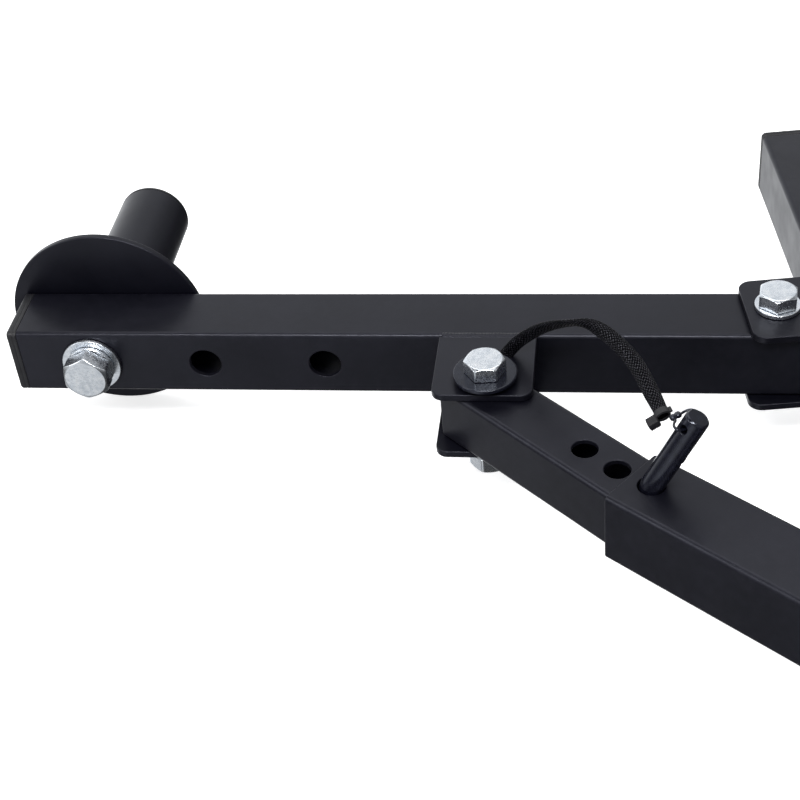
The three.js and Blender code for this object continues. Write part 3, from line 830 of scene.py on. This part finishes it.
def peg():
    low, high = extent("peg_flange", PEG)
    stand_for("peg_flange", ring(high.x, 11, low.z, high.z, 1.0, steps=160), PEG)
    low, high = extent("peg_tube", PEG)
    stand_for("peg_tube", tube(circle(high.x, 96), low.z, high.z, WALL, 0.6, 0.3), PEG)
    stand_for("peg_weld", peg_weld_shape(), PEG, flat=False)
    low, high = extent("peg_end_cap", PEG)
    radius, face = high.x, high.z
    step = extent("peg_tube", PEG)[1].z + 0.3
    rim_profile = [(1.4 * (1 - math.sin(a)), face - 1.4 * (1 - math.cos(a))) for a in np.linspace(0, TAU / 4, 6)]
    flange = [(radius, face - 0.5), (9, face - 0.45), (7.6, face - 0.02)] + rim_profile + [(0, step + 0.2), (0.3, step)]
    plug = [(3.4, step), (3.4, low.z + 0.8), (4.2, low.z), (5.4, low.z), (5.8, step - 1), (radius, step - 1)]
    stand_for("peg_end_cap", layers(circle(radius, 96), flange + plug), PEG)
    washer("peg_flat_washer", PEG, 11, edge=0.5)
    stand_for("peg_spring_washer", spring_washer(), PEG)
    low, high = extent("peg_bolt", PEG)
    head = 12.5
    shape = transformed(bolt_shape(M20, head, high.z - low.z - head, 24), Matrix.Rotation(math.pi, 3, "X"))
    stand_for("peg_bolt", shape, moved(PEG, z=low.z + head, turn=PEG_BOLT_TURN))


# ---- Brace and pin ---------------------------------------------------------------------------

def brace():
    low, high = extent("brace_inner_tube", BRACE)
    cutters = [drill(BUSH_HOLE, low.z, high.z)]
    cutters += [shifted(drill(PIN_HOLE, low.z, high.z), x) for x in PIN_HOLES_X]
    square_tube("brace_inner_tube", BRACE, INNER_CORNER, WALL, cutters)
    low, high = extent("brace_outer_tube", OUTER)
    square_tube("brace_outer_tube", OUTER, BEAM_CORNER, OUTER_WALL, [drill(PIN_HOLE, low.z, high.z)])


def handle_point(back):
    """A point on the handle's centre line in the pin's axes, that far back from its free end."""
    along = PIN_HANDLE - back
    x = PIN_BEND_RADIUS * (1 - math.cos(PIN_BEND)) + along * math.sin(PIN_BEND)
    z = PIN_BEND_START + PIN_BEND_RADIUS * math.sin(PIN_BEND) + along * math.cos(PIN_BEND)
    return Vector((x, 0, z))


def through_handle(shape):
    """Places a shape, drawn round a cross hole along its own Y, at the hole in the handle."""
    turned = transformed(shape, Matrix.Rotation(PIN_BEND, 3, "Y") @ Matrix.Rotation(CROSS_HOLE_TURN, 3, "Z"))
    return shifted(turned, *handle_point(CROSS_HOLE_BACK))


def pin_path(bottom):
    """The pin's centre line from its lower end, with close points at both ends and at the bend."""
    path = [(0, 0, bottom + z) for z in (0, 0.35, 0.9, 1.6, 2.4, 4)]
    path += [(0, 0, z) for z in np.linspace(bottom + 8, PIN_BEND_START, 14)]
    for a in np.linspace(0, PIN_BEND, 9)[1:]:
        path.append((PIN_BEND_RADIUS * (1 - math.cos(a)), 0, PIN_BEND_START + PIN_BEND_RADIUS * math.sin(a)))
    backs = list(np.linspace(PIN_HANDLE - 1.5, 2.5, 60)) + [1.6, 1.1, 0.6, 0.25, 0]
    return path + [tuple(handle_point(back)) for back in backs]


def pin_shape():
    """A round bar bent once, chamfered at both ends, with a pressed crease across its handle."""
    bottom = extent("locking_pin", PIN)[0].z
    path = pin_path(bottom)
    angles = np.arange(56) * TAU / 56
    total = PIN_BEND_START - bottom + PIN_BEND_RADIUS * PIN_BEND + PIN_HANDLE

    def section(share, distance):
        lower = max(0.0, 2.6 - distance) * 0.75
        upper = max(0.0, 1.3 - (total - distance)) * 0.95
        back = total - distance
        press = 0.9 * math.exp(-((back - CREASE_BACK) / 1.1) ** 2)
        swell = 0.3 * math.exp(-((back - CREASE_BACK + 3.4) / 2.2) ** 2)
        facing = np.clip(np.cos(angles + math.radians(70)), 0, 1)
        reach = PIN_RADIUS - lower - upper - (press - swell) * facing
        return np.stack([reach * np.cos(angles), reach * np.sin(angles)], 1)

    bar = sweep(path, (0, 1, 0), section)
    tool = along_y(drill(CROSS_HOLE, -PIN_RADIUS + 0.3, PIN_RADIUS - 0.3, flare=0.5))
    return cut(bar, through_handle(tool))


def round_section(radius, steps=12):
    angles = np.arange(steps) * TAU / steps
    outline = np.stack([radius * np.cos(angles), radius * np.sin(angles)], 1)
    return lambda share, distance: outline


def wire_loop_shape():
    """A thin wire through the cross hole and back round the handle, both ends in the cable tie."""
    tie_side = ((-12.8, 0.2, -6.2), (-9.8, -2.4, -3.8), (-7, -7.2, -2), (-4, -10.4, -0.8), (-0.8, -10.8, 0))
    hole = ((0, -7, 0), (0, 0, 0), (0, 7, 0))
    far_side = ((-0.8, 10.8, 0.4), (-4.5, 11.4, 1.6), (-8.6, 9.6, 2.4), (-11.4, 6, 1), (-12.8, 2.8, -4))
    way = resampled(tie_side + hole + far_side, 0.6)
    return through_handle(sweep(way, (0.3, 0.2, 1), round_section(0.75)))


def sleeve_roll(share):
    """Turn of the flat sleeve about its own length, from facing the viewer, along its way."""
    return math.radians(np.interp(share, (0, 0.2, 0.42, 0.54, 1), (40, 45, 80, 14, 0)))


def braided_sleeve():
    """A flattened braid: two families of strands that wind opposite ways and cross over and under."""
    path = resampled(LANYARD_WAY, 0.36)
    tangents = np.gradient(path, axis=0)
    tangents /= np.linalg.norm(tangents, axis=1)[:, None]
    shares = np.linspace(0, 1, len(path))
    kernel = np.ones(41) / 41
    rolls = np.array([sleeve_roll(s) for s in shares])
    rolls = np.convolve(np.pad(rolls, 20, mode="edge"), kernel, mode="valid")
    side = []
    for tangent, roll in zip(tangents, rolls):
        level = Vector(tangent).cross(TOWARDS_VIEWER).normalized()
        side.append(tuple(Matrix.Rotation(roll, 3, Vector(tangent)) @ level))
    count = 96
    angles = np.arange(count) * TAU / count
    around = angles / TAU
    heights = []

    def section(share, distance):
        gather = np.interp(share, (0, 0.06, 0.9, 0.97, 1), (0.8, 1, 1, 0.86, 0.8))
        width = SLEEVE_WIDTH / 2 * gather
        thick = SLEEVE_THICKNESS / 2 / gather ** 0.8
        one = STRANDS * (around + distance / STRAND_TURN_LENGTH)
        other = STRANDS * (around - distance / STRAND_TURN_LENGTH)
        over = (np.floor(one) + np.floor(other)) % 2 == 0
        top = np.where(over, one, other) % 1
        arch = np.sin(math.pi * top) ** 0.7
        filament = 0.8 + 0.2 * np.abs(np.sin(3 * math.pi * top))
        height = arch * filament
        heights.append(height)
        across = np.sign(np.cos(angles)) * np.abs(np.cos(angles)) ** 0.8
        up = np.sign(np.sin(angles)) * np.abs(np.sin(angles)) ** 0.9
        rise = STRAND_HEIGHT * (height - 0.6)
        return np.stack([(width + rise) * across, (thick + rise) * up], 1)

    shape = sweep(path, side, section)
    return shape, np.concatenate(heights)


def lanyard():
    """The sleeve bends between the brace, which carries its eye, and the pin."""
    (points, faces), heights = braided_sleeve()
    points = [tuple(ARM @ (Vector(p) * MM) / MM) for p in points]
    name = "lanyard_cord.visual"
    thing = show(name, None, "braid", (points, faces), Matrix.Identity(4), flat=False)
    strand = thing.data.attributes.new("strand", "FLOAT", "POINT")
    strand.data.foreach_set("value", heights.astype(np.float32))
    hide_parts("lanyard_cord")
    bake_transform(thing)


def lanyard_eye():
    """The sleeve's fixed end, pressed flat round the clevis bolt."""
    low, high = extent("lanyard_eye", CLEVIS)
    outer, inner = high.x, BOLT_HOLE
    middle, half = (low.z + high.z) / 2, (high.z - low.z) / 2
    across = (outer - inner) / 2
    rings = []
    heights = []
    for angle in np.linspace(0, TAU, 240, endpoint=False):
        ring_points = []
        for k in range(36):
            a = k * TAU / 36
            one, other = 36 * angle / TAU + k / 4.5, 36 * angle / TAU - k / 4.5
            over = (math.floor(one) + math.floor(other)) % 2 == 0
            height = abs(math.sin(math.pi * (one if over else other))) ** 0.7
            shrink = 0.3 * (1 - height)
            reach = (outer + inner) / 2 + (across - shrink) * math.cos(a)
            z = middle + (half - shrink) * math.copysign(abs(math.sin(a)) ** 0.6, math.sin(a))
            ring_points.append((reach * math.cos(angle), reach * math.sin(angle), z))
            heights.append(height)
        rings.append(ring_points)
    thing = stand_for("lanyard_eye", loft(rings, loop=True), CLEVIS, flat=False)
    strand = thing.data.attributes.new("strand", "FLOAT", "POINT")
    strand.data.foreach_set("value", np.array(heights, np.float32))


def tie_place():
    """The cable tie's own axes: Z along the sleeve's end, X across it."""
    end, before = Vector(LANYARD_WAY[-1]), Vector(LANYARD_WAY[-2])
    along = (end - before).normalized()
    across = along.cross(TOWARDS_VIEWER).normalized()
    up = along.cross(across)
    axes = Matrix((across, up, along)).transposed().to_4x4()
    return ARM @ Matrix.Translation((end - along * 1.5) * MM) @ axes


def cable_tie():
    """A nylon tie: a ribbed band round the gathered sleeve and a head with its ratchet window."""
    place = tie_place()
    path = []
    for a in np.linspace(0, TAU, 120, endpoint=False):
        path.append((4.0 * math.cos(a), 3.2 * math.sin(a), 0))
    outwards = [(x, y, 0) for x, y, z in path]

    def band(share, distance):
        rib = 0.14 * (1 if (distance / 0.9) % 1 > 0.5 else 0)
        half = 2.3
        return [(-0.55, -half), (0.55 + rib, -half + 0.25), (0.55 + rib, half - 0.25), (-0.55, half)]

    def head(share, distance):
        taper = 0.5 * max(0.0, 1 - min(distance, TIE_HEAD - distance) / 0.5)
        across = 3.1 - taper
        rib = 0.28 if (distance / 1.15) % 1 < 0.5 else 0
        up = 2.5 - taper + rib
        return rectangle(-across, -up, across, up, (0.5,) * 4, steps=3)(0)

    path_along = [(x, 0, 0) for x in np.arange(0, TIE_HEAD + 0.01, 0.1)]
    window = prism(rectangle(TIE_HEAD - 1, -1.6, TIE_HEAD + 1, 1.6, (0.2,) * 4), -0.8, 0.8, 0.1)
    body = shifted(cut(sweep(path_along, (0, 0, 1), head), window), 3.4, 0, 2.2)
    show("cable_tie_head.visual", "pin", "black_plastic", body, place)
    tail = prism(rectangle(-6.2, -0.6, -3.2, 0.6, (0.2,) * 4), -1.9, 1.9, 0.2)
    show("cable_tie_tail.visual", "pin", "black_plastic", tail, place)
    thing = show("cable_tie_band.visual", "pin", "black_plastic", sweep(path, outwards, band, loop=True), place)
    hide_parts("cable_tie")


def wire_ferrule():
    """The short crimped sleeve that holds the wire's two ends against the cable tie."""
    outline = [(0, -3.4), (1.5, -3.4), (2.1, -2.8), (2.1, -1.1), (1.8, -0.7), (1.8, 0.7), (2.1, 1.1), (2.1, 2.8), (1.5, 3.4)]
    rings = [[(r * math.cos(a), 0.8 * r * math.sin(a), z) for a in np.arange(40) * TAU / 40] for r, z in outline[1:]]
    crimp = transformed(loft(rings), Matrix.Rotation(math.radians(-68), 3, "X"))
    shape = through_handle(shifted(crimp, -13.4, 1.5, -5.2))
    show("wire_ferrule.visual", "pin", "black_oxide", shape, PIN, flat=False)


def pin():
    stand_for("locking_pin", pin_shape(), PIN)
    stand_for("pin_wire_loop", wire_loop_shape(), PIN, flat=False)
    wire_ferrule()


# ---- Nodes that stay as they are, out of sight ---------------------------------------------------

def hidden_nodes():
    for name in ("arm_pivot_bush", "brace_pivot_bush", "peg_nut"):
        thing = frame["nodes"][name]
        for slot in thing.material_slots:
            slot.material = MATERIALS[SLOT[name]]


# ---- Stage -----------------------------------------------------------------------------------

def floor():
    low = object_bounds()[0]
    mesh = mesh_from("floor", layers(circle(6000, 48), [(0, -20), (0, 0)]))
    thing = bpy.data.objects.new("floor", mesh)
    bpy.context.scene.collection.objects.link(thing)
    thing.location = (-0.2, 0, low.z - 0.0002)
    made, tree, shader, where = material("pale_floor")
    colour = ramp(tree, noise(tree, where, 3, 2), (0.3, (0.82, 0.82, 0.825)), (0.7, (0.86, 0.86, 0.86)))
    connect(tree, shader, Base_Color=colour, Roughness=0.9, Specular_IOR_Level=0.1)
    connect(tree, shader, Emission_Color=(1, 1, 1, 1), Emission_Strength=0.7)
    thing.data.materials.append(made)
    thing.visible_glossy = False
    thing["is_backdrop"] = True


def studio_world():
    """A white room whose light comes from above and from behind the object. On the viewer's side it
    darkens below the horizon, so that faces turned to the viewer stay nearly black."""
    world = bpy.data.worlds.new("studio")
    bpy.context.scene.world = world
    world.use_nodes = True
    tree = world.node_tree
    direction = node(tree, "TexCoord", {}, output="Generated")
    split = tree.nodes.new("ShaderNodeSeparateXYZ")
    tree.links.new(direction, split.inputs[0])
    height = mapped(tree, split.outputs["Z"], -0.15, 0.3, 0.0, 1.0)
    low_left = mapped(tree, split.outputs["Y"], -0.65, -0.25, LOW_LEFT_LIGHT, LOW_SIDE_LIGHT)
    low_front = mapped(tree, split.outputs["X"], -0.5, -0.1, low_left, LOW_RIGHT_LIGHT)
    low_behind = mapped(tree, split.outputs["X"], -0.1, 0.3, LOW_BACK_LIGHT, LOW_RIGHT_LIGHT)
    to_back = mapped(tree, split.outputs["Y"], 0.0, 0.8, 0.0, 1.0)
    low = node(tree, "Mix", {0: to_back, 2: low_front, 3: low_behind}, 0, data_type="FLOAT")
    high_right = mapped(tree, split.outputs["X"], 0.25, 0.6, HIGH_BACK_LIGHT, HIGH_RIGHT_LIGHT)
    high_back = mapped(tree, split.outputs["Y"], -0.5, 0.6, HIGH_FRONT_LIGHT, high_right)
    overhead = mapped(tree, split.outputs["Z"], 0.6, 0.72, 0.0, 1.0)
    high = node(tree, "Mix", {0: overhead, 2: high_back, 3: OVERHEAD_LIGHT}, 0, data_type="FLOAT")
    value = node(tree, "Mix", {0: height, 2: low, 3: high}, 0, data_type="FLOAT")
    background = tree.nodes["Background"]
    tree.links.new(value, background.inputs["Strength"])
    background.inputs["Color"].default_value = (0.96, 0.98, 1.0, 1)


def softbox(name, at, towards, size, power):
    light = bpy.data.lights.new(name, "AREA")
    light.shape = "RECTANGLE"
    light.size, light.size_y = size
    light.energy = power
    thing = bpy.data.objects.new(name, light)
    bpy.context.scene.collection.objects.link(thing)
    thing.location = at
    thing.rotation_euler = (Vector(towards) - Vector(at)).to_track_quat("-Z", "Y").to_euler()


def camera():
    """The viewer's place and turn, in the arm's axes."""
    pitch, yaw, roll = (math.radians(a) for a in (38.818, -10.352, -6.012))
    forward = Vector((math.sin(yaw) * math.cos(pitch), math.cos(yaw) * math.cos(pitch), -math.sin(pitch)))
    right = Vector((math.cos(yaw), -math.sin(yaw), 0))
    up = right.cross(forward)
    rolled_right = right * math.cos(roll) + up * math.sin(roll)
    rolled_up = up * math.cos(roll) - right * math.sin(roll)
    axes = Matrix((rolled_right, rolled_up, -forward)).transposed().to_4x4()
    data = bpy.data.cameras.new("camera")
    data.lens = 71.79
    data.sensor_width = 36
    thing = bpy.data.objects.new("camera", data)
    bpy.context.scene.collection.objects.link(thing)
    thing.matrix_world = ARM @ Matrix.Translation(Vector((-98.4, -870.7, 660.6)) * MM) @ axes
    bpy.context.scene.camera = thing


drawbar()
arm()
clevis()
peg()
brace()
pin()
lanyard_eye()
lanyard()
cable_tie()
hidden_nodes()

floor()
studio_world()
middle = ARM @ (Vector((-250, 0, 0)) * MM)
softbox("overhead", middle + Vector((0.1, 0.5, 1.6)), middle, (1.8, 1.2), 14)
softbox("left_side", middle + Vector((-1.5, -0.5, 0.9)), middle, (0.9, 0.9), 8)
softbox("over_the_viewer", middle + Vector((-0.1, -1.1, 1.5)), middle, (1.6, 0.25), 34)
camera()
bpy.context.scene.view_settings.view_transform = "Standard"
